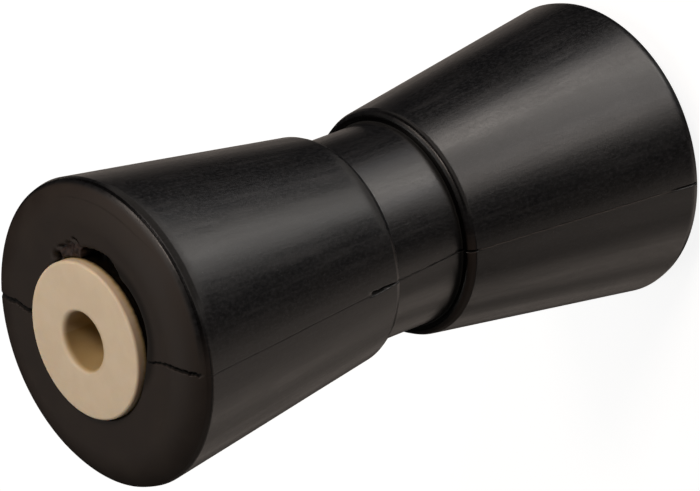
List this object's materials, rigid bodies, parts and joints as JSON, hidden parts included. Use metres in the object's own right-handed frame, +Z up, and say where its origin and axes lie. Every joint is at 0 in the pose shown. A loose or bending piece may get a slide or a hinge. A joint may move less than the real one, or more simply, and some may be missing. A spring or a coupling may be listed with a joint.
{
  "type": "boat trailer keel roller",
  "caption": "Hourglass-shaped black rubber keel roller for a boat trailer, with a cream nylon bush bored for the shaft in each end; one end is torn beside its bush.",
  "frame": {"origin": "centre of the lower bush's end face, which the roller stands on", "axes": "+Z up the roller's axis towards the end with the torn place, +X along one side of the mould's parting plane"},
  "size_m": [0.0896, 0.0896, 0.2022],
  "materials": {
    "black_rubber": "satin",
    "cream_nylon": "satin"
  },
  "bodies": {
    "root": {"roller_body": "black_rubber", "top_bush": "cream_nylon", "bottom_bush": "cream_nylon"}
  },
  "joints": []
}
